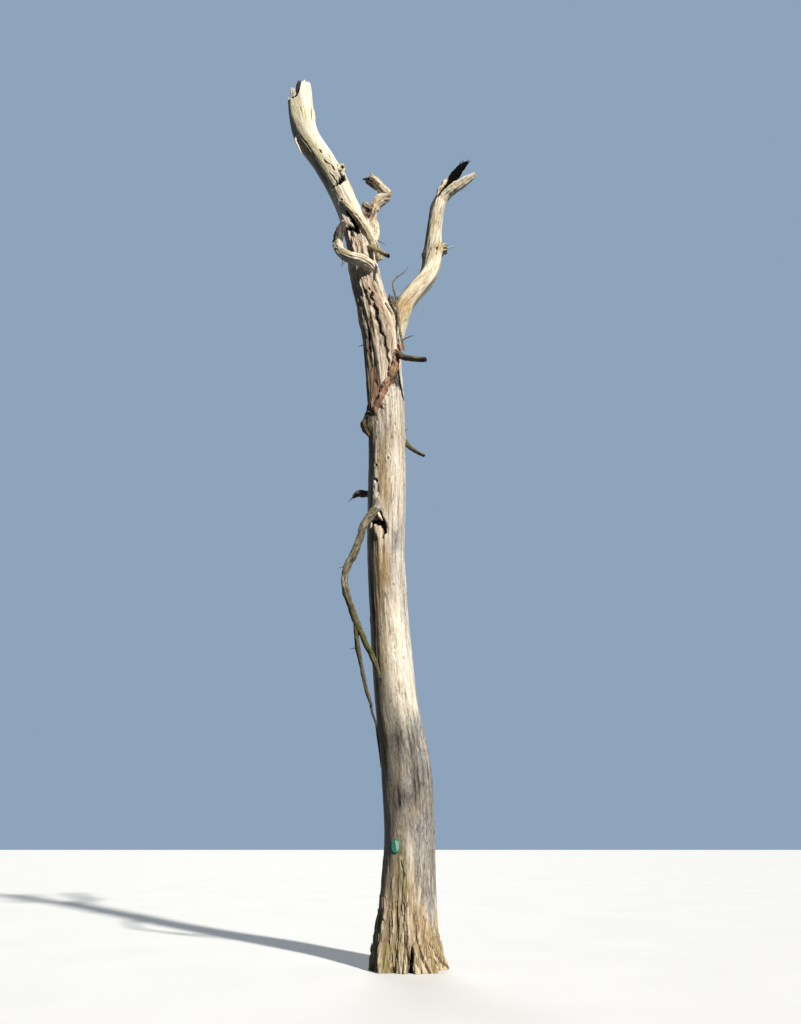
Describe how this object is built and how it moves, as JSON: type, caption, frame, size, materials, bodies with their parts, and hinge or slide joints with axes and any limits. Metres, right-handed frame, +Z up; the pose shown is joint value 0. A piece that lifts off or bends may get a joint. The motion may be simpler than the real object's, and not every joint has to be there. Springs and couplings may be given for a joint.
{
  "type": "dead tree",
  "caption": "Tall dead standing tree, bare of bark, with a flared foot, a leaning leader with a broken hollow top, a forked bough, torn stubs and a marker plate.",
  "frame": {"origin": "middle of the flat cut under the trunk, at ground level", "axes": "+Z up, +X to the right of a viewer at the front, +Y away from that viewer"},
  "size_m": [3.6857, 1.1387, 15.4829],
  "materials": {
    "trunk_wood": "bare weathered trunk wood, silver grey below and cream above, with drying cracks",
    "bough_wood": "bare cream bough wood with yellow-green algae on its upper side",
    "stub_wood": "brown weathered wood of the broken side limbs",
    "dark_wood": "dark rotten or charred-looking broken wood",
    "algae_wood": "thin bark with green algae and moss",
    "inner_bark": "reddish brown strand of old inner bark",
    "plate_enamel": "glossy green enamel with a pale half"
  },
  "bodies": {
    "root": {"trunk": "trunk_wood", "upper_stem": "trunk_wood", "leader_bough": "bough_wood", "leader_knob": "bough_wood", "leader_strand": "bough_wood", "right_bough_lower": "bough_wood", "right_bough_upper": "bough_wood", "right_knot": "bough_wood", "lower_prong": "bough_wood", "upper_prong": "dark_wood", "crook_lower": "stub_wood", "crook_upper": "stub_wood", "shoulder_stub": "stub_wood", "curl_lower": "stub_wood", "curl_upper": "dark_wood", "upper_right_stub": "stub_wood", "crotch_stub": "dark_wood", "fork_stub": "algae_wood", "diagonal_strand": "inner_bark", "side_burl": "stub_wood", "mid_right_branch": "algae_wood", "left_stub": "dark_wood", "droop_upper": "algae_wood", "droop_lower": "algae_wood", "droop_fork": "algae_wood", "marker_plate": "plate_enamel"}
  },
  "joints": []
}
